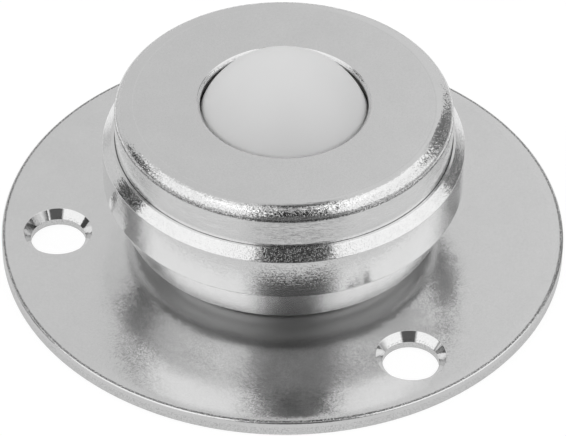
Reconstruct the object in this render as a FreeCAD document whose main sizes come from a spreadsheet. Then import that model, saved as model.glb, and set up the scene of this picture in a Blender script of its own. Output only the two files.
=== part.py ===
"""Flange-mounted ball transfer unit with a Ø22 mm load ball.

A load ball rolls on a bed of small bearing balls, which lie in the round race of a hardened cup.
The cup stands in a turned housing, a retainer ring and a felt seal lie over it,
and a drawn cover cap holds the stack down and leaves an opening for the load ball.
The housing stands on a round base plate with three countersunk screw holes.

Row frame: +Z is the ball's side, and the origin is the centre of the plate's underside.
"""
import FreeCAD, Part
import math
import os
import Sketcher

# Driving dimensions in millimetres, and counts. A gap is measured on one side.
SIZES = {
    # Balls
    "load_ball_diameter": 22.0,
    "bearing_ball_diameter": 3.5,
    "rolling_gap": 0.03,  # between each rolling face and the next
    "bearing_ball_play": 0.22,  # free way from one ring of bearing balls to the next
    "ring_1_count": 6,  # bearing balls in the ring next to the lowest one
    "ring_2_count": 11,
    "ring_3_count": 16,
    "ring_4_count": 19,
    # Race cup
    "cup_floor": 0.9,  # thickness under the lowest bearing ball
    "cup_side_wall": 1.34,
    "cup_foot_chamfer": 8.5,
    "cup_headroom": 0.5,  # from the top ring of bearing balls to the cup's rim
    # Housing, from its floor up and from its bore out
    "housing_floor": 0.95,
    "fit_gap": 0.1,  # between pieces that slide into each other
    "clamp_step": 0.2,  # how far the cup's rim stands above the counterbore's floor
    "retainer_overhang": 2.9,  # how far the retainer reaches past the housing's bore
    "lip_width": 0.3,
    "chamfer_width": 1.15,
    "chamfer_height": 1.2,
    "wall_height": 5.4,
    "taper_inset": 2.55,
    "rim_clearance": 2.8,  # from the plate to the taper's lower rim
    "neck_inset": 2.6,
    "spigot_inset": 4.0,
    "stake_flare": 0.6,
    "stake_inset": 1.0,
    "stake_width": 0.5,
    "stake_depth": 0.4,
    # Cover cap
    "ball_sink": 5.5,  # from the cap's top face down to the load ball's centre
    "cap_exposed": 5.1,  # from the housing's lip up to the cap's top face
    "cap_thickness": 1.2,
    "skirt_wall": 1.6,
    "bevel_width": 1.05,
    "bevel_drop": 0.15,
    "corner_radius": 1.1,
    "opening_gap": 0.25,
    "opening_land": 0.6,  # depth of the opening's straight edge
    "opening_chamfer": 0.3,
    # Retainer ring and felt seal
    "retainer_gap": 0.3,
    "felt_thickness": 2.5,
    "felt_gap": 0.15,
    # Base plate
    "plate_thickness": 2.0,
    "plate_edge_chamfer": 0.25,
    "hole_diameter": 6.8,
    "countersink_diameter": 8.5,
    "countersink_depth": 1.05,
    "hole_margin": 5.85,  # from the housing's wall to the screw holes' centres
    "edge_margin": 7.0,  # from the screw holes' centres to the plate's edge
    "hole_count": 3,
}

# Rings of bearing balls around the lowest one, from the inside out
RING_COUNTS = ("ring_1_count", "ring_2_count", "ring_3_count", "ring_4_count")

# Radii and heights that follow from the driving dimensions
DERIVED = {
    "ball_radius": "Sizes.load_ball_diameter / 2",
    "bearing_radius": "Sizes.bearing_ball_diameter / 2",
    "pitch_radius": "ball_radius + Sizes.rolling_gap + bearing_radius",
    "race_radius": "pitch_radius + bearing_radius + Sizes.rolling_gap",
    "ball_height": "Sizes.housing_floor + Sizes.cup_floor + race_radius",
    "ball_spacing": "Sizes.bearing_ball_diameter + Sizes.bearing_ball_play",
    "ring_step": "asin(ball_spacing / pitch_radius)",
    "top_ring_drop": f"pitch_radius * cos({len(RING_COUNTS)} * ring_step)",
    # Heights above the plate's underside
    "cup_rim_drop": "top_ring_drop - bearing_radius - Sizes.cup_headroom",
    "cup_rim": "ball_height - cup_rim_drop",
    "cup_shoulder": "Sizes.housing_floor + Sizes.cup_foot_chamfer",
    "counterbore": "cup_rim - Sizes.clamp_step",
    "cap_top": "ball_height + Sizes.ball_sink",
    "cap_underside": "cap_top - Sizes.cap_thickness",
    "bevel_foot": "cap_top - Sizes.bevel_drop",
    "corner_foot": "bevel_foot - Sizes.corner_radius",
    "felt_bottom": "cap_underside - Sizes.felt_thickness",
    "housing_top": "cap_top - Sizes.cap_exposed",
    "shoulder": "housing_top - Sizes.chamfer_height",
    "taper_top": "shoulder - Sizes.wall_height",
    "rim": "Sizes.plate_thickness + Sizes.rim_clearance",
    # Radii from the cup out to the plate's edge
    "cup_outer": "race_radius + Sizes.cup_side_wall",
    "cup_foot": "cup_outer - Sizes.cup_foot_chamfer",
    "bore": "cup_outer + Sizes.fit_gap",
    "pocket_foot": "bore - Sizes.cup_foot_chamfer",
    "retainer_outer": "bore + Sizes.retainer_overhang",
    "retainer_inner": "ball_radius + Sizes.retainer_gap",
    "skirt_inner": "retainer_outer + Sizes.fit_gap",
    "cap_outer": "skirt_inner + Sizes.skirt_wall",
    "bevel_outer": "cap_outer - Sizes.corner_radius",
    "counterbore_radius": "cap_outer + Sizes.fit_gap",
    "lip_outer": "counterbore_radius + Sizes.lip_width",
    "housing_outer": "lip_outer + Sizes.chamfer_width",
    "rim_outer": "housing_outer - Sizes.taper_inset",
    "neck_outer": "rim_outer - Sizes.neck_inset",
    "spigot_outer": "neck_outer - Sizes.spigot_inset",
    "stake_ring": "spigot_outer - Sizes.stake_inset",
    "hole_circle_radius": "housing_outer + Sizes.hole_margin",
    "plate_outer": "hole_circle_radius + Sizes.edge_margin",
    # Where curved faces end
    "race_edge": "sqrt(race_radius ^ 2 - cup_rim_drop ^ 2)",
    "felt_radius": "ball_radius + Sizes.felt_gap",
    "felt_edge_low": "sqrt(felt_radius ^ 2 - (felt_bottom - ball_height) ^ 2)",
    "felt_edge_high": "sqrt(felt_radius ^ 2 - (cap_underside - ball_height) ^ 2)",
    "land_foot": "Sizes.ball_sink - Sizes.opening_land",
    "opening": "sqrt(ball_radius ^ 2 - land_foot ^ 2) + Sizes.opening_gap",
    "opening_relief": "Sizes.cap_thickness - Sizes.opening_land",
}

FULL_TURN = 360.0
FIRST_HOLE_SIDE = -1  # the first screw hole lies on the -X side
ON_AXIS = "0"
EDGE_TOLERANCE = 1e-4
FACET_MERIDIANS = 10  # flat faces around a bearing ball
FACET_BANDS = 6  # and from its lowest to its highest point


def add_sheet(doc, name, cells):
    """A spreadsheet with a name in column A and an aliased value in column B."""
    sheet = doc.addObject("Spreadsheet::Sheet", name)
    for row, (alias, content) in enumerate(cells.items(), start=1):
        sheet.set(f"A{row}", alias)
        sheet.set(f"B{row}", content)
        sheet.setAlias(f"B{row}", alias)
    doc.recompute()
    return sheet


def origin_feature(body, role):
    return next(item for item in body.Origin.OriginFeatures if item.Role == role)


def add_body(doc, label):
    body = doc.addObject("PartDesign::Body", label)
    body.Label = label
    return body


def add_sketch(body, name, role):
    sketch = body.newObject("Sketcher::SketchObject", name)
    sketch.AttachmentSupport = [(origin_feature(body, role), "")]
    sketch.MapMode = "FlatFace"
    return sketch


def value_of(doc, expression):
    """The number that an expression gives with the present sizes."""
    result = doc.Derived.evalExpression(expression)
    return float(getattr(result, "Value", result))


def bind(sketch, constraint, expression):
    """Adds a dimension to a sketch and ties it to an expression."""
    index = sketch.addConstraint(constraint)
    sketch.setExpression(f"Constraints[{index}]", expression)


def draw_edge(sketch, start, end, centre):
    """Draws a line from start to end, or an arc about a centre, and says which of its points
    are its first and its last."""
    if centre is None:
        sketch.addGeometry(Part.LineSegment(start, end), False)
        return (1, 2)
    circle = Part.Circle(centre, FreeCAD.Vector(0, 0, 1), (start - centre).Length)
    angles = [math.atan2(point.y - centre.y, point.x - centre.x) for point in (start, end)]
    sketch.addGeometry(Part.ArcOfCircle(circle, min(angles), max(angles)), False)
    return (1, 2) if angles[0] < angles[1] else (2, 1)


def draw_section(doc, sketch, corners):
    """Draws a closed half section in the XZ plane, with the turning axis at radius 0.

    A corner is (radius, height), both expressions, and its outline goes on in a straight line.
    After a third entry it goes on along an arc: "sphere" is centred on the axis at the load
    ball's height, and "round" is a quarter turn from upright to level.
    """
    places = [FreeCAD.Vector(value_of(doc, c[0]), value_of(doc, c[1]), 0) for c in corners]
    ball_centre = FreeCAD.Vector(0, value_of(doc, "Derived.ball_height"), 0)
    ends = []
    for index, (radius, height, *arc) in enumerate(corners):
        start = places[index]
        end = places[(index + 1) % len(places)]
        round_centre = FreeCAD.Vector(end.x, start.y, 0)
        centre = {"sphere": ball_centre, "round": round_centre}[arc[0]] if arc else None
        ends.append(draw_edge(sketch, start, end, centre))
    for index in range(len(corners)):
        following = (index + 1) % len(corners)
        last, first = ends[index][1], ends[following][0]
        sketch.addConstraint(Sketcher.Constraint("Coincident", index, last, following, first))
    for index, (radius, height, *arc) in enumerate(corners):
        first, last = ends[index]
        place = places[index]
        if radius == ON_AXIS:
            sketch.addConstraint(Sketcher.Constraint("PointOnObject", index, first, -2))
        else:
            bind(sketch, Sketcher.Constraint("DistanceX", -1, 1, index, first, place.x), radius)
        if height == ON_AXIS:
            sketch.addConstraint(Sketcher.Constraint("PointOnObject", index, first, -1))
        else:
            bind(sketch, Sketcher.Constraint("DistanceY", -1, 1, index, first, place.y), height)
        if arc == ["sphere"]:
            sketch.addConstraint(Sketcher.Constraint("PointOnObject", index, 3, -2))
        if arc == ["round"]:
            sketch.addConstraint(Sketcher.Constraint("Vertical", index, 3, index, last))


def turn_body(doc, label, corners):
    """A turned body: one half section revolved about the Z axis."""
    body = add_body(doc, label)
    sketch = add_sketch(body, f"{label}_section", "XZ_Plane")
    draw_section(doc, sketch, corners)
    turned = body.newObject("PartDesign::Revolution", f"{label}_turned")
    turned.Profile = sketch
    turned.ReferenceAxis = (sketch, ["V_Axis"])
    turned.Angle = FULL_TURN
    doc.recompute()
    return body


def circle_edges(doc, feature, radius, height):
    """Names of the circular edges about the Z axis with this radius and height."""
    wanted = (value_of(doc, radius), value_of(doc, height))
    names = []
    for index, edge in enumerate(feature.Shape.Edges, start=1):
        if not isinstance(edge.Curve, Part.Circle):
            continue
        found = (edge.Curve.Radius, edge.Curve.Center.z)
        on_axis = math.hypot(edge.Curve.Center.x, edge.Curve.Center.y) < EDGE_TOLERANCE
        if on_axis and math.dist(found, wanted) < EDGE_TOLERANCE:
            names.append(f"Edge{index}")
    return names


def chamfer_edge(doc, body, name, radius, height, size):
    base = body.Tip
    chamfer = body.newObject("PartDesign::Chamfer", name)
    chamfer.Base = (base, circle_edges(doc, base, radius, height))
    chamfer.setExpression("Size", size)
    doc.recompute()


def make_base_plate(doc):
    """Stamped steel disc with a staked centre hole and a ring of countersunk holes."""
    body = add_body(doc, "base_plate")
    sketch = add_sketch(body, "plate_blank", "XY_Plane")
    for index, radius in enumerate(("Derived.plate_outer", "Derived.spigot_outer")):
        start = value_of(doc, radius)
        circle = Part.Circle(FreeCAD.Vector(0, 0, 0), FreeCAD.Vector(0, 0, 1), start)
        sketch.addGeometry(circle, False)
        sketch.addConstraint(Sketcher.Constraint("Coincident", index, 3, -1, 1))
        bind(sketch, Sketcher.Constraint("Radius", index, start), radius)
    disc = body.newObject("PartDesign::Pad", "plate_disc")
    disc.Profile = sketch
    disc.setExpression("Length", "Sizes.plate_thickness")
    doc.recompute()
    chamfer_edge(
        doc, body, "centre_hole_flare", "Derived.spigot_outer", ON_AXIS, "Sizes.stake_flare")
    chamfer_edge(
        doc, body, "plate_edge", "Derived.plate_outer", "Sizes.plate_thickness",
        "Sizes.plate_edge_chamfer")
    section = add_sketch(body, "screw_hole_section", "XZ_Plane")
    draw_section(doc, section, [
        (ON_AXIS, ON_AXIS),
        ("Sizes.hole_diameter / 2", ON_AXIS),
        ("Sizes.hole_diameter / 2", "Sizes.plate_thickness - Sizes.countersink_depth"),
        ("Sizes.countersink_diameter / 2", "Sizes.plate_thickness"),
        (ON_AXIS, "Sizes.plate_thickness"),
    ])
    section.setExpression(
        "AttachmentOffset.Base.x", f"{FIRST_HOLE_SIDE} * Derived.hole_circle_radius")
    hole = body.newObject("PartDesign::Groove", "screw_hole")
    hole.Profile = section
    hole.ReferenceAxis = (section, ["V_Axis"])
    hole.Angle = FULL_TURN
    doc.recompute()
    pattern = body.newObject("PartDesign::PolarPattern", "screw_holes")
    pattern.Originals = [hole]
    pattern.Axis = (origin_feature(body, "Z_Axis"), [""])
    pattern.Angle = FULL_TURN
    pattern.setExpression("Occurrences", "Sizes.hole_count")
    body.Tip = pattern
    return body


def make_housing(doc):
    """Turned steel housing: staked spigot, neck, taper, wall, chamfered lip, pocket for the cup."""
    return turn_body(doc, "housing", [
        (ON_AXIS, ON_AXIS),
        ("Derived.stake_ring - Sizes.stake_width", ON_AXIS),
        ("Derived.stake_ring", "Sizes.stake_depth"),
        ("Derived.stake_ring + Sizes.stake_width", ON_AXIS),
        ("Derived.spigot_outer + Sizes.stake_flare", ON_AXIS),
        ("Derived.spigot_outer", "Sizes.stake_flare"),
        ("Derived.spigot_outer", "Sizes.plate_thickness"),
        ("Derived.neck_outer", "Sizes.plate_thickness"),
        ("Derived.neck_outer", "Derived.rim"),
        ("Derived.rim_outer", "Derived.rim"),
        ("Derived.housing_outer", "Derived.taper_top"),
        ("Derived.housing_outer", "Derived.shoulder"),
        ("Derived.lip_outer", "Derived.housing_top"),
        ("Derived.counterbore_radius", "Derived.housing_top"),
        ("Derived.counterbore_radius", "Derived.counterbore"),
        ("Derived.bore", "Derived.counterbore"),
        ("Derived.bore", "Derived.cup_shoulder"),
        ("Derived.pocket_foot", "Sizes.housing_floor"),
        (ON_AXIS, "Sizes.housing_floor"),
    ])


def make_race_cup(doc):
    """Hardened cup: a spherical race inside, a flat foot and a straight side outside."""
    return turn_body(doc, "race_cup", [
        (ON_AXIS, "Sizes.housing_floor"),
        ("Derived.cup_foot", "Sizes.housing_floor"),
        ("Derived.cup_outer", "Derived.cup_shoulder"),
        ("Derived.cup_outer", "Derived.cup_rim"),
        ("Derived.race_edge", "Derived.cup_rim", "sphere"),
        (ON_AXIS, "Derived.ball_height - Derived.race_radius"),
    ])


def make_retainer(doc):
    """Ring that clamps the cup and keeps the bearing balls from climbing out of the race."""
    return turn_body(doc, "ball_retainer", [
        ("Derived.retainer_inner", "Derived.cup_rim"),
        ("Derived.retainer_outer", "Derived.cup_rim"),
        ("Derived.retainer_outer", "Derived.felt_bottom"),
        ("Derived.retainer_inner", "Derived.felt_bottom"),
    ])


def make_felt_seal(doc):
    """Felt ring that wipes the load ball, hollowed to the ball's curve."""
    return turn_body(doc, "felt_seal", [
        ("Derived.felt_edge_low", "Derived.felt_bottom"),
        ("Derived.retainer_outer", "Derived.felt_bottom"),
        ("Derived.retainer_outer", "Derived.cap_underside"),
        ("Derived.felt_edge_high", "Derived.cap_underside", "sphere"),
    ])


def make_cover_cap(doc):
    """Drawn cap: flat top with a slight bevel, rounded corner, skirt in the counterbore."""
    body = turn_body(doc, "cover_cap", [
        ("Derived.skirt_inner", "Derived.counterbore"),
        ("Derived.cap_outer", "Derived.counterbore"),
        ("Derived.cap_outer", "Derived.corner_foot", "round"),
        ("Derived.bevel_outer", "Derived.bevel_foot"),
        ("Derived.bevel_outer - Sizes.bevel_width", "Derived.cap_top"),
        ("Derived.opening", "Derived.cap_top"),
        ("Derived.opening", "Derived.cap_top - Sizes.opening_land"),
        ("Derived.opening + Derived.opening_relief", "Derived.cap_underside"),
        ("Derived.skirt_inner", "Derived.cap_underside"),
    ])
    chamfer_edge(
        doc, body, "opening_edge", "Derived.opening", "Derived.cap_top", "Sizes.opening_chamfer")
    return body


def make_load_ball(doc):
    ball = doc.addObject("Part::Sphere", "load_ball")
    ball.Label = "load_ball"
    ball.setExpression("Radius", "Derived.ball_radius")
    ball.setExpression("Placement.Base.z", "Derived.ball_height")
    return ball


def faceted_ball(radius):
    """A solid of flat faces on meridians and bands, whose corners lie on the sphere."""
    rings = []
    for band in range(FACET_BANDS + 1):
        tilt = math.pi * band / FACET_BANDS
        turns = [2 * math.pi * index / FACET_MERIDIANS for index in range(FACET_MERIDIANS)]
        across, height = radius * math.sin(tilt), -radius * math.cos(tilt)
        rings.append([
            FreeCAD.Vector(across * math.cos(turn), across * math.sin(turn), height)
            for turn in turns
        ])
    faces = []
    for band, (lower, upper) in enumerate(zip(rings, rings[1:])):
        for index in range(FACET_MERIDIANS):
            following = (index + 1) % FACET_MERIDIANS
            corners = [lower[index], lower[following], upper[following], upper[index]]
            if band == 0:
                del corners[1]
            if band == FACET_BANDS - 1:
                del corners[2]
            faces.append(Part.Face(Part.makePolygon([*corners, corners[0]])))
    return Part.makeSolid(Part.makeShell(faces))


def make_bearing_ball(doc, label, form, place):
    """A small ball with its centre at (x, y, z), each an expression."""
    ball = doc.addObject("Part::Feature", label)
    ball.Label = label
    ball.Shape = form
    for axis, expression in zip("xyz", place):
        ball.setExpression(f"Placement.Base.{axis}", expression)
    return ball


def make_bearing_balls(doc):
    """The lowest bearing ball, and rings around it that follow the race up to the cup's rim."""
    form = faceted_ball(value_of(doc, "Derived.bearing_radius"))
    lowest = "Derived.ball_height - Derived.pitch_radius"
    balls = [make_bearing_ball(doc, "bearing_ball_01", form, ("0", "0", lowest))]
    for ring, count in enumerate(RING_COUNTS, start=1):
        tilt = f"({ring} * Derived.ring_step)"
        across = f"Derived.pitch_radius * sin{tilt}"
        height = f"Derived.ball_height - Derived.pitch_radius * cos{tilt}"
        for index in range(int(value_of(doc, f"Sizes.{count}"))):
            turn = f"({FULL_TURN} deg * {index} / Sizes.{count})"
            place = (f"{across} * cos{turn}", f"{across} * sin{turn}", height)
            label = f"bearing_ball_{len(balls) + 1:02d}"
            balls.append(make_bearing_ball(doc, label, form, place))
    return balls


def check_document(doc):
    """Stops if a feature failed to compute."""
    for item in doc.Objects:
        if {"Invalid", "Error"} & set(item.State):
            raise RuntimeError(f"{item.Label} did not compute: {item.State}")


def check_solid(piece):
    """Stops if a piece is not one valid solid."""
    shape = piece.Shape
    if shape.isNull() or not shape.isValid() or len(shape.Solids) != 1:
        raise RuntimeError(f"{piece.Label} is not one valid solid")


def main():
    doc = FreeCAD.newDocument("ball_transfer_unit")
    add_sheet(doc, "Sizes", {name: str(number) for name, number in SIZES.items()})
    add_sheet(doc, "Derived", {name: f"={formula}" for name, formula in DERIVED.items()})
    pieces = [
        make_base_plate(doc),
        make_housing(doc),
        make_race_cup(doc),
        make_retainer(doc),
        make_felt_seal(doc),
        make_cover_cap(doc),
        make_load_ball(doc),
        *make_bearing_balls(doc),
    ]
    doc.recompute()
    check_document(doc)
    for piece in pieces:
        check_solid(piece)
    os.makedirs("parts", exist_ok=True)
    for piece in pieces:
        piece.Shape.exportStep(f"parts/{piece.Label}.step")
        print(f"{piece.Label}: {piece.Shape.Volume:.1f} mm3")
    for name in ("ball_height", "cap_top", "opening", "housing_outer", "plate_outer"):
        print(f"{name}: {value_of(doc, 'Derived.' + name):.3f} mm")


main()
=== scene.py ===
# %% [markdown]
# # A ball transfer unit, dressed over its CAD frame
# A ball transfer unit is a castor for flat goods: a large white ball rolls on a bed of small
# steel balls, and a turned steel housing on a round flange holds it.
# The CAD model gives every size and place. This script adds what CAD solids lack: rounded
# edges, tool marks, plated steel, satin plastic, and studio light.

# %% Load the frame
import math

import bmesh
import bpy
import numpy as np
from mathutils import Matrix, Vector


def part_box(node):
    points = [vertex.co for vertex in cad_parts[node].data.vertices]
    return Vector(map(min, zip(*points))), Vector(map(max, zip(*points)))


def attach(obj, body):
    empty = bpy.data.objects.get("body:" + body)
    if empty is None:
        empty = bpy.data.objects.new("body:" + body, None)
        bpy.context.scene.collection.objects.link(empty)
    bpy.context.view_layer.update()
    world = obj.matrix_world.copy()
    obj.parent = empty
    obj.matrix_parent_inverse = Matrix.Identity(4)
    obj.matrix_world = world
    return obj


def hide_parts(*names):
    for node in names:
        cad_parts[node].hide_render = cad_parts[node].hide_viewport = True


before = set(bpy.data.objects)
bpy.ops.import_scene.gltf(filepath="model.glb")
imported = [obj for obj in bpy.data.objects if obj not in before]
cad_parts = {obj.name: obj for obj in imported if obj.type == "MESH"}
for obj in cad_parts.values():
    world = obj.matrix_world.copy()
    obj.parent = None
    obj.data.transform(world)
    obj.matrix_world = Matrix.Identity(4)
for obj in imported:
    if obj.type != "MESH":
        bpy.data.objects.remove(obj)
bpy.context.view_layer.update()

MM = 0.001
MICROMETRE = 1e-6
DEGREES = 180 / math.pi

# %% [markdown]
# ## Sizes taken from the frame
# A new piece has to sit exactly where its CAD solid sits, so its main sizes are read from the
# boxes of the solids. The few inner sizes that no box shows are written here in millimetres.

# %% Read the main sizes
def reach(node):
    """Largest radius, lowest height and highest height of a round node, in millimetres."""
    low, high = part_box(node)
    return high.x / MM, low.z / MM, high.z / MM


plate_radius, _, plate_top = reach("base_plate")
housing_radius, _, housing_top = reach("housing")
cap_radius, cap_foot, cap_top = reach("cover_cap")
cup_radius, pocket_floor, _ = reach("race_cup")
retainer_radius, _, _ = reach("ball_retainer")
ball_radius, ball_low, ball_high = reach("load_ball")
ball_height = (ball_low + ball_high) / 2
print(f"plate {plate_radius:.2f}, housing {housing_radius:.2f}, cap {cap_radius:.2f}, "
      f"ball {ball_radius:.2f} at {ball_height:.2f} mm")

# %% [markdown]
# ## The camera
# The view is that of a long lens about 0.4 m away, a little over 40 degrees above the table.
# The camera's three axes are worked out from its azimuth, elevation and roll. The small shift
# puts the middle of the plate where the framing wants it, without turning the camera.

# %% Camera
CAMERA_AZIMUTH, CAMERA_ELEVATION, CAMERA_ROLL = (math.radians(a) for a in (-3.75, 41.714, 0.727))
CAMERA_DISTANCE = 0.420
LENS_AND_SENSOR = (214.03, 36.0)
VIEW_SHIFT = (0.00054, 0.01087)


def make_camera(target):
    """A camera at target + distance * back, where back points from the object to the camera."""
    back = Vector((math.sin(CAMERA_AZIMUTH) * math.cos(CAMERA_ELEVATION),
                   -math.cos(CAMERA_AZIMUTH) * math.cos(CAMERA_ELEVATION),
                   math.sin(CAMERA_ELEVATION)))
    right = Vector((0, 0, 1)).cross(back).normalized()
    up = back.cross(right)
    across = right * math.cos(CAMERA_ROLL) + up * math.sin(CAMERA_ROLL)
    upward = up * math.cos(CAMERA_ROLL) - right * math.sin(CAMERA_ROLL)
    camera = bpy.data.objects.new("view_camera", bpy.data.cameras.new("view_camera"))
    bpy.context.scene.collection.objects.link(camera)
    camera.matrix_world = Matrix.Translation(target + back * CAMERA_DISTANCE) @ Matrix(
        (across, upward, back)).transposed().to_4x4()
    camera.data.lens, camera.data.sensor_width = LENS_AND_SENSOR
    camera.data.shift_x, camera.data.shift_y = VIEW_SHIFT
    camera.data.clip_start, camera.data.clip_end = 0.01, 10
    bpy.context.scene.camera = camera
    return camera


view_camera = make_camera(Vector((0, 0, plate_top * MM)))
print("camera at", [round(c, 4) for c in view_camera.location])

# %% [markdown]
# ## Shader maths as Python
# Node trees are easier to read as formulas. A `Wire` stands for one output socket, and the
# operators + - * / on it add Math nodes. `Nodes` holds a tree, and its `add` method makes any
# other node from its type, its settings and what its inputs get.

# %% Wires and nodes
class Wire:
    """One value in a node tree. Arithmetic on wires and numbers adds Math nodes."""

    def __init__(self, nodes, socket):
        self.nodes, self.socket = nodes, socket

    def math(self, operation, *values):
        """A Math node whose inputs are the values in turn."""
        return self.nodes.add("ShaderNodeMath", {"operation": operation}, dict(enumerate(values)))

    def __add__(self, other):
        return self.math("ADD", self, other)

    def __sub__(self, other):
        return self.math("SUBTRACT", self, other)

    def __mul__(self, other):
        return self.math("MULTIPLY", self, other)

    def __truediv__(self, other):
        return self.math("DIVIDE", self, other)

    def __rsub__(self, other):
        return self.math("SUBTRACT", other, self)

    def __rtruediv__(self, other):
        return self.math("DIVIDE", other, self)

    __radd__ = __add__
    __rmul__ = __mul__


class Nodes:
    """A node tree that is filled by one method."""

    def __init__(self, tree):
        self.tree = tree
        self.tree.nodes.clear()

    def add(self, kind, settings=None, inputs=None, output=0):
        """Makes a node, sets its settings, then its inputs, and gives one output as a wire."""
        node = self.tree.nodes.new(kind)
        for name, value in (settings or {}).items():
            setattr(node, name, value)
        for name, value in (inputs or {}).items():
            if isinstance(value, Wire):
                self.tree.links.new(value.socket, node.inputs[name])
            else:
                node.inputs[name].default_value = value
        return Wire(self, node.outputs[output]) if len(node.outputs) else node

    def ramp(self, value, start, end):
        """A soft step: 0 below start, 1 above end, and an S-curve between them."""
        return self.add(
            "ShaderNodeMapRange", {"interpolation_type": "SMOOTHSTEP"},
            {"Value": value, "From Min": start, "From Max": end, "To Min": 0.0, "To Max": 1.0})

    def band(self, value, low, high, soft):
        """1 between low and high, falling to 0 over a soft edge outside them."""
        return self.ramp(value, low - soft, low) * (1 - self.ramp(value, high, high + soft))

    def blend(self, factor, first, second):
        """A colour between two colours."""
        return self.add("ShaderNodeMix", {"data_type": "RGBA"},
                        {0: factor, 6: first, 7: second}, output=2)

    def vector(self, operation, *values):
        """A Vector Math node whose inputs are the values in turn."""
        return self.add("ShaderNodeVectorMath", {"operation": operation}, dict(enumerate(values)))

    def noise(self, place, scale, detail=2.0, roughness=0.5):
        """Noise between 0 and 1, with about one blotch every 1 / scale metres."""
        return self.add("ShaderNodeTexNoise", None, {
            "Vector": place, "Scale": scale, "Detail": detail, "Roughness": roughness})


print("shader helpers ready")

# %% [markdown]
# ## Studio light
# Bright metal shows its surroundings, so the studio matters more than the metal's colour.
# A white tent stands round the object. Two brighter walls left and right give the broad
# highlights, the dark lens opening in front gives the dark middle of the turned faces, and
# the gaps where the tent's panels meet give the short dark patches near its sides.
# A darker strip runs along the horizon in front, and a paler panel hangs behind. The tent is
# a formula of azimuth (0 is the camera's side) and elevation, in degrees. Only reflections
# and light see it: the camera itself sees a white backdrop.

# %% World
def make_studio():
    """The tent's brightness, times what the lens, the gaps and the horizon strip let through."""
    world = bpy.data.worlds.new("studio")
    bpy.context.scene.world = world
    world.use_nodes = True
    nodes = Nodes(world.node_tree)
    direction = nodes.add("ShaderNodeTexCoord")
    split = nodes.add("ShaderNodeSeparateXYZ", None, {0: direction})
    east, north, high = (Wire(nodes, s) for s in split.socket.node.outputs)
    azimuth = east.math("ARCTAN2", east, north * -1) * DEGREES
    elevation = high.math("ARCSINE", high) * DEGREES

    left_end = azimuth + 45 * nodes.ramp(elevation, 42, 54)
    right_end = azimuth - 42 * nodes.ramp(elevation, 38, 50)
    walls = (nodes.ramp(left_end, -100, -97) * (1 - nodes.ramp(azimuth, -24, -21))
             + nodes.ramp(azimuth, 29, 32) * (1 - nodes.ramp(right_end, 106, 109)))
    tent = 0.64 + 0.45 * nodes.ramp(elevation, 62, 80) \
        + 0.06 * nodes.ramp(azimuth, 130, 150) * (1 - nodes.ramp(azimuth, 168, 179)) \
        + 0.42 * walls * nodes.band(elevation, -8, 78, 5)

    forward = north * -1
    half_width = 0.12 + 0.20 * forward
    lens = (1 - nodes.ramp(east.math("ABSOLUTE", east - 0.065), half_width,
                           half_width + 0.09)) * nodes.ramp(forward, -0.58, -0.34) \
        * (1 - 0.45 * nodes.band(forward, -0.26, -0.12, 0.06)) \
        * (0.83 + 0.13 * nodes.ramp(elevation, 42, 47))
    left_gap = nodes.band(azimuth + 0.6 * (elevation - 21), -119, -97, 2) \
        * nodes.band(elevation, -20, 42, 5)
    right_gap = nodes.band(azimuth - 0.5 * (elevation - 10), 107, 138, 2) \
        * nodes.band(elevation, -2, 42, 4)
    right_side = nodes.band(azimuth, 12, 55, 15)
    horizon = (0.62 + 0.06 * right_side) * nodes.band(azimuth, -92, 100, 8) \
        * nodes.band(elevation - 5 * right_side, -10, 8, 12)
    light = tent * (1 - lens) * (1 - 0.90 * left_gap) * (1 - 0.75 * right_gap) \
        * (1 - horizon * (1 - lens))

    camera_ray = nodes.add("ShaderNodeLightPath")
    strength = light + camera_ray * (1 - light)
    background = nodes.add("ShaderNodeBackground", None,
                           {"Color": (1, 1, 1, 1), "Strength": strength})
    nodes.add("ShaderNodeOutputWorld", None, {"Surface": background})


make_studio()
bpy.context.scene.view_settings.view_transform = "Standard"
print("studio ready")

# %% [markdown]
# ## The floor
# The object stands on a light table: a pale sheet that glows by itself, so that almost no
# shadow shows under the flange and the screw holes look white. It is a plain disc made as a
# grid of rings. The camera sees one even tone. Reflections see a glow that is dimmer close to
# the object, dimmer far away, and nearly dark in a patch in front of it.

# %% Mesh helpers
def mesh_object(name, points, faces):
    """A mesh object from an array of points in millimetres and an array of quads."""
    mesh = bpy.data.meshes.new(name)
    mesh.from_pydata((points * MM).tolist(), [], faces.tolist())
    form = bmesh.new()
    form.from_mesh(mesh)
    bmesh.ops.remove_doubles(form, verts=form.verts, dist=1e-7)
    bmesh.ops.recalc_face_normals(form, faces=form.faces)
    form.to_mesh(mesh)
    form.free()
    mesh.polygons.foreach_set("use_smooth", np.ones(len(mesh.polygons), bool))
    made = bpy.data.objects.new(name, mesh)
    bpy.context.scene.collection.objects.link(made)
    return made


def grid_faces(rows, columns, first=0, ring_rows=False):
    """Quads between neighbours of a grid that is closed along its columns. Point (i, j) has the
    number first + i * columns + j. ring_rows also joins the last row to the first."""
    i, j = np.meshgrid(np.arange(rows if ring_rows else rows - 1), np.arange(columns),
                       indexing="ij")
    after_i, after_j = (i + 1) % rows, (j + 1) % columns
    corners = (i * columns + j, i * columns + after_j,
               after_i * columns + after_j, after_i * columns + j)
    return first + np.stack(corners, axis=-1).reshape(-1, 4)


def lathe(profile, steps):
    """Turns a profile of (radius, height) about Z: a point is (r cos t, r sin t, z), with the
    angle t in equal steps round the full turn."""
    turn = np.linspace(0, 2 * np.pi, steps, endpoint=False)
    radius, height = profile[:, :1], profile[:, 1:]
    return np.stack([radius * np.cos(turn), radius * np.sin(turn),
                     height + 0 * turn], axis=-1).reshape(-1, 3)


FLOOR_RADIUS, FLOOR_STEPS = 3000.0, 96
FLOOR_DROP = 0.05  # keeps the floor out of the plane of the plate's underside
FLOOR_TONE = 0.9  # what the camera sees


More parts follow.
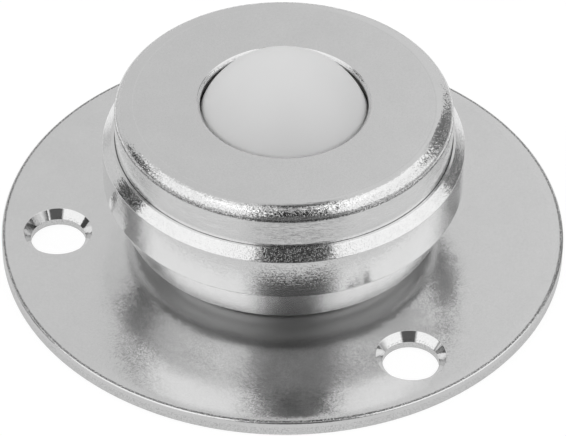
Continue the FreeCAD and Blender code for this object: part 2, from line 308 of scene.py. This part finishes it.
def make_floor():
    """A disc that glows by a formula of the distance from the axis and the azimuth."""
    rings = np.array([[radius, -FLOOR_DROP] for radius in (0, 60, 300, FLOOR_RADIUS)], float)
    floor = mesh_object("floor", lathe(rings, FLOOR_STEPS), grid_faces(len(rings), FLOOR_STEPS))
    material = bpy.data.materials.new("light_table")
    material.use_nodes = True
    nodes = Nodes(material.node_tree)
    place = nodes.add("ShaderNodeTexCoord", output=3)
    split = nodes.add("ShaderNodeSeparateXYZ", None, {0: place})
    east, north, _ = (Wire(nodes, socket) / MM for socket in split.socket.node.outputs)
    away = east.math("SQRT", east * east + north * north)
    azimuth = east.math("ARCTAN2", east, north * -1) * DEGREES
    shade = nodes.band(azimuth, -17, 26, 9) * nodes.ramp(away, 46, 54)
    camera_ray = nodes.add("ShaderNodeLightPath")
    metal_sees = (0.54 + 0.29 * nodes.ramp(away, 44, 58)) * (1 - 0.96 * shade) \
        * (1 - 0.55 * nodes.ramp(away, 75, 220))
    glow = metal_sees + camera_ray * (FLOOR_TONE - metal_sees)
    colour = nodes.add("ShaderNodeCombineColor", None, {0: glow, 1: glow, 2: glow})
    shader = nodes.add("ShaderNodeBsdfPrincipled", None, {
        "Base Color": (0.15, 0.15, 0.15, 1), "Roughness": 0.9,
        "Emission Color": colour, "Emission Strength": 1.0})
    nodes.add("ShaderNodeOutputMaterial", None, {"Surface": shader})
    floor.data.materials.append(material)


make_floor()
print("floor radius", FLOOR_RADIUS, "mm")

# %% [markdown]
# ## Plated steel
# The steel parts are zinc plated. Up close the plating is a grain of facets, a seventh of a
# millimetre across, that sparkles where dark and bright reflections meet. Each cell of a
# Voronoi pattern has its own random colour, and read as a vector that colour tilts the normal
# of the whole cell. Turned walls also carry the lathe's lines, which run round the part, and a
# faint cloudiness. These are noise on Object coordinates: noise that is stretched along X and Y
# turns into lines round a wall.

# %% Steel finishes
def new_finish(name):
    """A material, its empty node tree and its Object coordinates."""
    material = bpy.data.materials.new(name)
    material.use_nodes = True
    nodes = Nodes(material.node_tree)
    return material, nodes, nodes.add("ShaderNodeTexCoord", output=3)


def steel_finish(name, tone, roughness, grain, cells, lines=0.0, waves=0.0, pits=None,
                 worn=None, painted_dark_line=None, dull_and_shaded_below=None, painted_bright_band=None, polished=None):
    """Plated steel. The normal is (bump + grain * (cell colour - 1/2)), brought to length 1.

    tone is the metal's brightness, grain the size of the facets' tilt, and cells their number
    a metre. lines and waves are the depths, in micrometres, of the lathe's lines and of rolled
    sheet's slow unevenness. All heights and radii are in millimetres:

    - pits (low, top, depth): scattered pits, with their depth in micrometres
    - worn (low, top, grain, darker): another grain, and specks darker by that share
    - painted_dark_line (low, top, inner): a broken dark line painted outside a radius, as painted
      shade and dark reflection along an edge
    - dull_and_shaded_below: the height under which the metal is darker and rougher: duller
      plating in the crevice, and painted shade
    - painted_bright_band (low, top): a band painted brighter, as painted light, and made rougher
    - polished (circle, radius, angles): holes whose walls have hardly any grain
    """
    material, nodes, place = new_finish(name)
    fine = nodes.noise(place, cells, 1.0, 0.6)
    facet = nodes.add("ShaderNodeTexVoronoi", None, {"Vector": place, "Scale": cells}, output=1)
    specks = nodes.noise(place, 7000, 0.0)
    cloud = nodes.noise(place, 260, 3.0)
    slow = nodes.noise(place, 230, 1.0)
    squeezed = nodes.add("ShaderNodeMapping", None,
                         {"Vector": place, "Scale": (0.035, 0.035, 1.0)})
    turned = nodes.noise(squeezed, 6500, 3.0, 0.7)
    split = nodes.add("ShaderNodeSeparateXYZ", None, {0: place})
    east, north, high = (Wire(nodes, socket) / MM for socket in split.socket.node.outputs)
    shade = tone * (0.93 + 0.07 * cloud) * (1 - 0.16 * (fine - 0.5))
    rough = roughness * (0.80 + 0.40 * cloud)
    if worn:
        low, top, deeper, darker = worn
        shade = shade * (1 - darker * nodes.band(high, low, top - 0.65, 0.15)
                         * nodes.ramp(specks, 0.50, 0.62))
        grain = grain + (deeper - grain) * nodes.band(high, low, top - 0.1, 0.15)
    height = turned * lines + slow * waves
    if pits:
        low, top, depth = pits
        height = height - nodes.ramp(specks, 0.61, 0.69) \
            * (depth * nodes.band(high, low, top, 0.05))
    # painted shade and dark reflection: a broken dark line darkens the colour along an edge
    if painted_dark_line:
        low, top, inner = painted_dark_line
        outside = nodes.ramp(east * east + north * north, (inner - 0.1) ** 2, inner ** 2)
        shade = shade * (1 - 0.80 * nodes.band(high, low, top, 0.02) * outside
                         * nodes.ramp(fine, 0.36, 0.56))
    # painted light: the band's colour is painted brighter, and the metal there is made rougher
    if painted_bright_band:
        brightened = nodes.band(high, painted_bright_band[0], painted_bright_band[1], 0.05)
        shade = shade * (1 + 0.10 * brightened)
        rough = rough + 0.09 * brightened
    # painted shade in the crevice under the housing's rim, together with its duller plating:
    # darker colour and rougher metal below this height
    if dull_and_shaded_below:
        inside = 1 - nodes.ramp(high, dull_and_shaded_below - 0.15, dull_and_shaded_below)
        shade = shade * (1 - 0.45 * inside)
        rough = rough + 0.35 * inside
    if polished:
        circle, radius, angles = polished
        for angle in np.radians(angles):
            away = (east - circle * math.cos(angle)), (north - circle * math.sin(angle))
            outside = nodes.ramp(away[0] * away[0] + away[1] * away[1],
                                 (radius - 0.02) ** 2, (radius + 0.05) ** 2)
            grain = grain * (0.06 + 0.94 * outside)
            rough = rough * (0.35 + 0.65 * outside)
    colour = nodes.add("ShaderNodeCombineColor", None, {0: shade, 1: shade, 2: shade})
    bump = nodes.add("ShaderNodeBump", None, {
        "Strength": 1.0, "Distance": MICROMETRE, "Height": height})
    tilt = nodes.vector("MULTIPLY", nodes.vector("SUBTRACT", facet, (0.5, 0.5, 0.5)),
                        nodes.add("ShaderNodeCombineXYZ", None, {0: grain, 1: grain, 2: grain}))
    normal = nodes.vector("NORMALIZE", nodes.vector("ADD", bump, tilt))
    shader = nodes.add("ShaderNodeBsdfPrincipled", None, {
        "Base Color": colour, "Metallic": 1.0, "Roughness": rough, "Normal": normal})
    nodes.add("ShaderNodeOutputMaterial", None, {"Surface": shader})
    return material


HOLES, HOLE_CIRCLE, HOLE_RADIUS = (60, 180, 300), 28.0, 3.4
COUNTERSINK_RADIUS, COUNTERSINK_DEPTH = 4.25, 1.05

plate_steel = steel_finish("plated_sheet", tone=0.85, roughness=0.21, grain=0.062,
                           cells=6800, waves=60.0,
                           worn=(0.05, 1.80, 0.2, 0.18),
                           # a painted dark reflection just inside the rim's rounded top edge
                           painted_dark_line=(1.905, 1.925, plate_radius - 0.45),
                           polished=(HOLE_CIRCLE, COUNTERSINK_RADIUS, HOLES))
housing_steel = steel_finish("plated_turning", tone=0.87, roughness=0.08, grain=0.02,
                             cells=7500, lines=8.0,
                             pits=(15.6, 16.9, 6.0), worn=(10.2, 16.9, 0.05, 0.0),
                             # painted shade just under the step at the taper's top
                             painted_dark_line=(10.07, 10.25, housing_radius - 1),
                             # below 4.75 mm the crevice gets painted shade and duller plating
                             # from 4.8 to 10.15 mm the taper is painted brighter, as painted
                             # light
                             dull_and_shaded_below=4.75, painted_bright_band=(4.8, 10.15))
cap_steel = steel_finish("plated_pressing", tone=0.83, roughness=0.07, grain=0.015, cells=7500,
                         lines=24.0, pits=(20.5, 21.6, 20.0), worn=(20.55, 21.80, 0.12, 0.40),
                         # a painted dark reflection where the drawn corner meets the skirt
                         painted_dark_line=(20.56, 20.84, cap_radius - 0.3))
print("steel finishes:", plate_steel.name, housing_steel.name, cap_steel.name)

# %% [markdown]
# ## Outlines with rounded corners
# A real edge is never sharp: it is a tiny arc that catches the light as a thin line.
# `rounded` takes an outline's corners, each with its own rounding radius, and puts an arc in
# place of each. Two extra points beside every arc keep the smooth shading of the straight
# faces from bending towards the arc.

# %% Rounded outlines
ARC_STEPS = 7
TURN_STEPS = 256
HOLD = 0.03  # millimetres from an arc's end to the extra point beside it


def rounded(corners, closed=False):
    """The outline through corners (radius, height, rounding).

    For a corner with the unit directions a and b to its neighbours and the angle g between
    them, the arc's radius is q, its ends lie q / tan(g / 2) from the corner, and its centre
    lies q / sin(g / 2) from it along a + b. Points on the arc turn evenly from one end to the
    other.
    """
    spots = np.array([corner[:2] for corner in corners], float)
    pieces = []
    for index, (radius, height, rounding) in enumerate(corners):
        here = spots[index]
        at_end = index in (0, len(corners) - 1) and not closed
        if at_end or not rounding:
            pieces.append(here[None])
            continue
        before = spots[index - 1] - here
        after = spots[(index + 1) % len(corners)] - here
        before, after = before / np.linalg.norm(before), after / np.linalg.norm(after)
        opening = math.acos(np.clip(before @ after, -1, 1))
        reach_in = rounding / math.tan(opening / 2)
        middle = (before + after) / np.linalg.norm(before + after)
        centre = here + middle * rounding / math.sin(opening / 2)
        start, end = here + before * reach_in - centre, here + after * reach_in - centre
        swing = math.pi - opening
        share = np.linspace(0, 1, ARC_STEPS)[:, None]
        arc = centre + (np.sin((1 - share) * swing) * start
                        + np.sin(share * swing) * end) / math.sin(swing)
        pieces += [(here + before * (reach_in + HOLD))[None], arc,
                   (here + after * (reach_in + HOLD))[None]]
    return np.concatenate(pieces)


def turned_piece(name, corners, steps, body, node, finish, closed=False):
    """A piece turned from a rounded outline, in place of a CAD node."""
    profile = rounded(corners, closed)
    faces = grid_faces(len(profile), steps, ring_rows=closed)
    piece = mesh_object(name, lathe(profile, steps), faces)
    piece.data.materials.append(finish)
    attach(piece, body)
    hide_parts(node)
    print(name, len(profile), "outline points,", 2 * len(piece.data.polygons), "triangles")


# %% [markdown]
# ## The housing
# The housing is turned from bar: a spigot that is staked into the plate, a neck, a taper, a
# plain wall and a chamfer that ends in a narrow lip round the cap. A shallow step marks where
# the taper's cut ended.

# %% Housing
FIT = 0.1
SPIGOT, NECK, RIM, RIM_HEIGHT = 13.0, 17.0, 19.6, 4.8
STAKE_RING, STAKE_HALF, STAKE_DEPTH, FLARE = 12.0, 0.5, 0.4, 0.6
LIP_WIDTH, CHAMFER_HEIGHT, WALL_HEIGHT, CUP_CHAMFER = 0.3, 1.2, 5.4, 8.5
LIP_OUTER = cap_radius + FIT + LIP_WIDTH
SHOULDER = housing_top - CHAMFER_HEIGHT
TAPER_TOP = SHOULDER - WALL_HEIGHT
CUP_SHOULDER = pocket_floor + CUP_CHAMFER

turned_piece("turned_housing", [
    (0, 0, 0),
    (STAKE_RING - STAKE_HALF, 0, 0.05),
    (STAKE_RING, STAKE_DEPTH, 0.05),
    (STAKE_RING + STAKE_HALF, 0, 0.05),
    (SPIGOT + FLARE, 0, 0.05),
    (SPIGOT, FLARE, 0.1),
    (SPIGOT, plate_top, 0),
    (NECK, plate_top, 0),
    (NECK, RIM_HEIGHT, 2.2),
    (RIM, RIM_HEIGHT, 0.05),
    (housing_radius - 0.13, TAPER_TOP - 0.07, 0.1),
    (housing_radius, TAPER_TOP + 0.05, 0.2),
    (housing_radius, SHOULDER, 0.10),
    (LIP_OUTER, housing_top, 0.07),
    (cap_radius + 0.04, housing_top, 0.06),
    (cap_radius + 0.04, housing_top - 0.3, 0),
    (cap_radius + FIT, housing_top - 0.4, 0),
    (cap_radius + FIT, cap_foot, 0),
    (cup_radius + FIT, cap_foot, 0.1),
    (cup_radius + FIT, CUP_SHOULDER, 0.2),
    (cup_radius + FIT - CUP_CHAMFER, pocket_floor, 0.2),
    (0, pocket_floor, 0),
], TURN_STEPS, "unit", "housing", housing_steel)

# %% [markdown]
# ## The cover cap
# The cap is drawn from sheet: a flat top, a slight bevel, a rounded corner and a straight
# skirt that goes down into the housing. Its opening has a small chamfer outside and a relief
# inside, so only a narrow edge comes near the ball.

# %% Cap
SKIRT_INNER = retainer_radius + FIT
CAP_THICKNESS, LAND, OPENING_CHAMFER, OPENING_GAP = 1.2, 0.6, 0.36, 0.38
OPENING = math.sqrt(ball_radius ** 2 - (cap_top - ball_height - LAND) ** 2) + OPENING_GAP
UNDERSIDE = cap_top - CAP_THICKNESS
BEND, BEND_GROWTH = 1.1, 3.3


def drawn_corner():
    """The corner's outline, from the skirt up to the top face.

    The outline's normal turns from level to 87 degrees of elevation. For each step of the
    turn the outline moves on by the bend's radius times the step, and the radius grows from
    1.1 mm on the skirt's side to 4.4 mm next to the top face.
    """
    rise = np.radians(np.linspace(0, 87, 30))
    middle, step = (rise[1:] + rise[:-1]) / 2, rise[1] - rise[0]
    share = np.clip((np.degrees(middle) - 58) / 14, 0, 1)
    bend = BEND + BEND_GROWTH * share * share * (3 - 2 * share)
    inward = np.concatenate([[0], np.cumsum(bend * np.sin(middle) * step)])
    upward = np.concatenate([[0], np.cumsum(bend * np.cos(middle) * step)])
    return [(cap_radius - a, cap_top - upward[-1] + b, 0) for a, b in zip(inward, upward)]


corner = drawn_corner()
FLAT_RADIUS = corner[-1][0]
print(f"the corner starts at {corner[0][1]:.2f} mm, the top is flat inside {FLAT_RADIUS:.2f} mm")

turned_piece("drawn_cap", [
    (SKIRT_INNER, cap_foot, 0.1),
    (cap_radius, cap_foot, 0.1),
    (cap_radius, corner[0][1] - 0.05, 0),
    *corner,
    (FLAT_RADIUS - 0.04, cap_top - 0.012, 0),
    (FLAT_RADIUS - 0.10, cap_top, 0),
    (FLAT_RADIUS - 0.16, cap_top, 0),
    (OPENING + OPENING_CHAMFER, cap_top, 0.1),
    (OPENING, cap_top - OPENING_CHAMFER, 0.08),
    (OPENING, cap_top - LAND, 0.05),
    (OPENING + CAP_THICKNESS - LAND, UNDERSIDE, 0.05),
    (SKIRT_INNER, UNDERSIDE, 0.4),
], TURN_STEPS, "unit", "cover_cap", cap_steel, closed=True)

# %% [markdown]
# ## The flange plate
# A stamped disc with three countersunk holes. Each third of it is one sheet, like a tube
# that is pulled open: its rows start on the third's border on the underside, run in to the
# screw hole, up through it, and out again to the border on top. Rows between the hole's
# circle and the border are blends of the two, taken in polar coordinates, so no face folds.

# %% Plate
EDGE_FOOT, EDGE_BREAK = 0.12, 0.20
ROLL_WIDTH, ROLL_DROP, ROLL_STEPS = 1.5, 0.13, 9
ARC_COUNT, SIDE_COUNT = 64, 12
THIRD = math.radians(120)


def border(outer, inner):
    """The outline of a third in polar coordinates: out along the outer arc, in along a side,
    back along the inner arc, and out along the other side."""
    sweep = np.linspace(-THIRD / 2, THIRD / 2, ARC_COUNT, endpoint=False)
    inward = np.linspace(outer, inner, SIDE_COUNT, endpoint=False)
    radius = np.concatenate([np.full(ARC_COUNT, outer), inward,
                             np.full(ARC_COUNT, inner), outer + inner - inward])
    angle = np.concatenate([sweep, np.full(SIDE_COUNT, THIRD / 2),
                            -sweep, np.full(SIDE_COUNT, -THIRD / 2)])
    return radius, angle


def hole_ring(radius):
    """A circle about a hole's axis, in polar coordinates about the plate's axis."""
    count = 2 * (ARC_COUNT + SIDE_COUNT)
    turn = 2 * np.pi * (np.arange(count) - ARC_COUNT / 2) / count
    across, along = HOLE_CIRCLE + radius * np.cos(turn), radius * np.sin(turn)
    return np.hypot(across, along), np.arctan2(along, across)


def plate_third(middle):
    """One third of the plate as rows of points, from the underside's border through the hole
    to the top's border. A row at share s is (1 - s) * hole circle + s * border."""
    shares = np.array([0.99, 0.9, 0.7, 0.5, 0.33, 0.2, 0.1, 0.03])[:, None]
    hole = rounded([
        (HOLE_RADIUS + 1, 0, 0), (HOLE_RADIUS, 0, 0.1),
        (HOLE_RADIUS, plate_top - COUNTERSINK_DEPTH, 0.05),
        (COUNTERSINK_RADIUS, plate_top, 0.08), (COUNTERSINK_RADIUS + 1, plate_top, 0)])[1:-1]
    rows = []
    for limits, height, spread in (
        ((plate_radius - EDGE_FOOT, SPIGOT + FLARE), 0.0, shares),
        ((plate_radius - ROLL_WIDTH, SPIGOT), plate_top, shares[::-1]),
    ):
        edge, ring = border(*limits), hole_ring(hole[0 if height == 0 else -1, 0])
        blended = [(1 - spread) * r + spread * e for r, e in zip(ring, edge)]
        outline = [e[None] for e in edge]
        parts = [outline, blended] if height == 0 else [blended, outline]
        rows.append([np.concatenate([part[k] for part in parts]) for k in (0, 1)]
                    + [np.full((len(shares) + 1, 1), height)])
    rings = [hole_ring(radius) for radius in hole[:, 0]]
    through = [np.stack([ring[k] for ring in rings]) for k in (0, 1)] + [hole[:, 1:]]
    radius, angle, height = (
        np.concatenate([rows[0][k], through[k], rows[1][k]]) for k in (0, 1, 2))
    angle = angle + math.radians(middle)
    return np.stack([radius * np.cos(angle), radius * np.sin(angle),
                     height + 0 * angle], axis=-1)


def make_plate():
    """Three thirds, the outer rim and the centre hole, joined into one closed mesh.

    Stamping pulls the top face down towards the rim: at a share s of the roll's width from its
    inner end the face lies s * s * drop lower.
    """
    share = np.linspace(1, 0, ROLL_STEPS)
    roll = np.stack([plate_radius - ROLL_WIDTH * (1 - share),
                     plate_top - ROLL_DROP * share ** 2, 0 * share], axis=-1)
    rim = rounded([(plate_radius - 1, 0, 0), (plate_radius, 0, EDGE_FOOT),
                   (plate_radius, roll[0, 1], EDGE_BREAK), *roll[2:].tolist()])[2:]
    bore = np.array([(SPIGOT, plate_top), (SPIGOT, FLARE), (SPIGOT + FLARE, 0)])
    points, faces, first = [], [], 0
    for middle in HOLES:
        third = plate_third(middle)
        points.append(third.reshape(-1, 3))
        faces.append(grid_faces(*third.shape[:2], first))
        first += points[-1].shape[0]
    for profile in (rim, bore):
        points.append(lathe(profile, len(HOLES) * ARC_COUNT))
        faces.append(grid_faces(len(profile), len(HOLES) * ARC_COUNT, first))
        first += points[-1].shape[0]
    piece = mesh_object("flange_plate", np.concatenate(points), np.concatenate(faces))
    piece.data.materials.append(plate_steel)
    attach(piece, "unit")
    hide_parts("base_plate")
    return piece


plate = make_plate()
print("flange_plate", 2 * len(plate.data.polygons), "triangles")

# %% [markdown]
# ## The load ball
# The ball is white plastic, ground round and satin. It is a grid of latitudes and longitudes,
# fine enough that its outline has no corners, with the finest marks of grinding as bump.

# %% Ball
BALL_ROWS, BALL_COLUMNS = 97, 192


def make_ball():
    """x = r sin a cos t, y = r sin a sin t, z = height - r cos a, with a from pole to pole."""
    rise = np.linspace(0, np.pi, BALL_ROWS)
    outline = np.stack([ball_radius * np.sin(rise), ball_height - ball_radius * np.cos(rise)],
                       axis=-1)
    outline[[0, -1], 0] = 0
    piece = mesh_object("plastic_ball", lathe(outline, BALL_COLUMNS),
                        grid_faces(len(outline), BALL_COLUMNS))
    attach(piece, "ball")
    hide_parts("load_ball")
    return piece


def plastic_finish():
    """White satin plastic: slow noise in tone and gloss, fine noise as bump."""
    material, nodes, place = new_finish("satin_plastic")
    cloud = nodes.noise(place, 120, 2.0)
    fine = nodes.noise(place, 3000, 2.0)
    shade = 0.96 + 0.03 * cloud
    colour = nodes.add("ShaderNodeCombineColor", None, {0: shade, 1: shade, 2: shade})
    bump = nodes.add("ShaderNodeBump", None, {
        "Strength": 1.0, "Distance": MICROMETRE, "Height": fine * 1.5})
    shader = nodes.add("ShaderNodeBsdfPrincipled", None, {
        "Base Color": colour, "Roughness": 0.38 + 0.08 * cloud, "Normal": bump, "IOR": 1.48})
    nodes.add("ShaderNodeOutputMaterial", None, {"Surface": shader})
    return material


ball = make_ball()
ball.data.materials.append(plastic_finish())
print("plastic_ball", 2 * len(ball.data.polygons), "triangles")

# %% [markdown]
# ## The pieces inside
# The cup, the bearing balls, the retainer and the felt keep their CAD meshes, because the cap
# hides them. They still get real finishes: ground and polished steel, a moulded ring, and
# felt as a mat of short hairs.

# %% Inner finishes
def plain_finish(name, low, high, roughness, scale, depth, metallic=0.0, stretch=(1, 1, 1)):
    """Noise between two colours, with the same noise as bump of a depth in micrometres."""
    material, nodes, place = new_finish(name)
    stretched = nodes.add("ShaderNodeMapping", None, {"Vector": place, "Scale": stretch})
    pattern = nodes.noise(stretched, scale, 4.0, 0.65)
    bump = nodes.add("ShaderNodeBump", None, {
        "Strength": 1.0, "Distance": MICROMETRE, "Height": pattern * depth})
    shader = nodes.add("ShaderNodeBsdfPrincipled", None, {
        "Base Color": nodes.blend(pattern, (*low, 1), (*high, 1)), "Metallic": metallic,
        "Roughness": roughness * (0.8 + 0.4 * pattern), "Normal": bump})
    nodes.add("ShaderNodeOutputMaterial", None, {"Surface": shader})
    return material


inner_finishes = {
    "race_cup": plain_finish("ground_steel", (0.42, 0.42, 0.43), (0.58, 0.58, 0.59), 0.22,
                             6000, 2.0, 1.0, (0.05, 0.05, 1)),
    "ball_retainer": plain_finish("moulded_ring", (0.05, 0.05, 0.05), (0.09, 0.09, 0.09), 0.5,
                                  900, 6.0),
    "felt_seal": plain_finish("wool_felt", (0.10, 0.10, 0.095), (0.26, 0.25, 0.24), 0.95,
                              2600, 60.0),
}
polished = plain_finish("polished_steel", (0.60, 0.60, 0.61), (0.68, 0.68, 0.69), 0.10,
                        1500, 0.5, 1.0)
shown_finishes = {"base_plate": plate_steel, "housing": housing_steel, "cover_cap": cap_steel,
                  "load_ball": ball.data.materials[0]}
finishes = {**inner_finishes, **shown_finishes}
for name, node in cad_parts.items():
    node.data.materials.clear()
    node.data.materials.append(finishes.get(name, polished))
print("inner finishes:", sorted(inner_finishes), "and", polished.name)
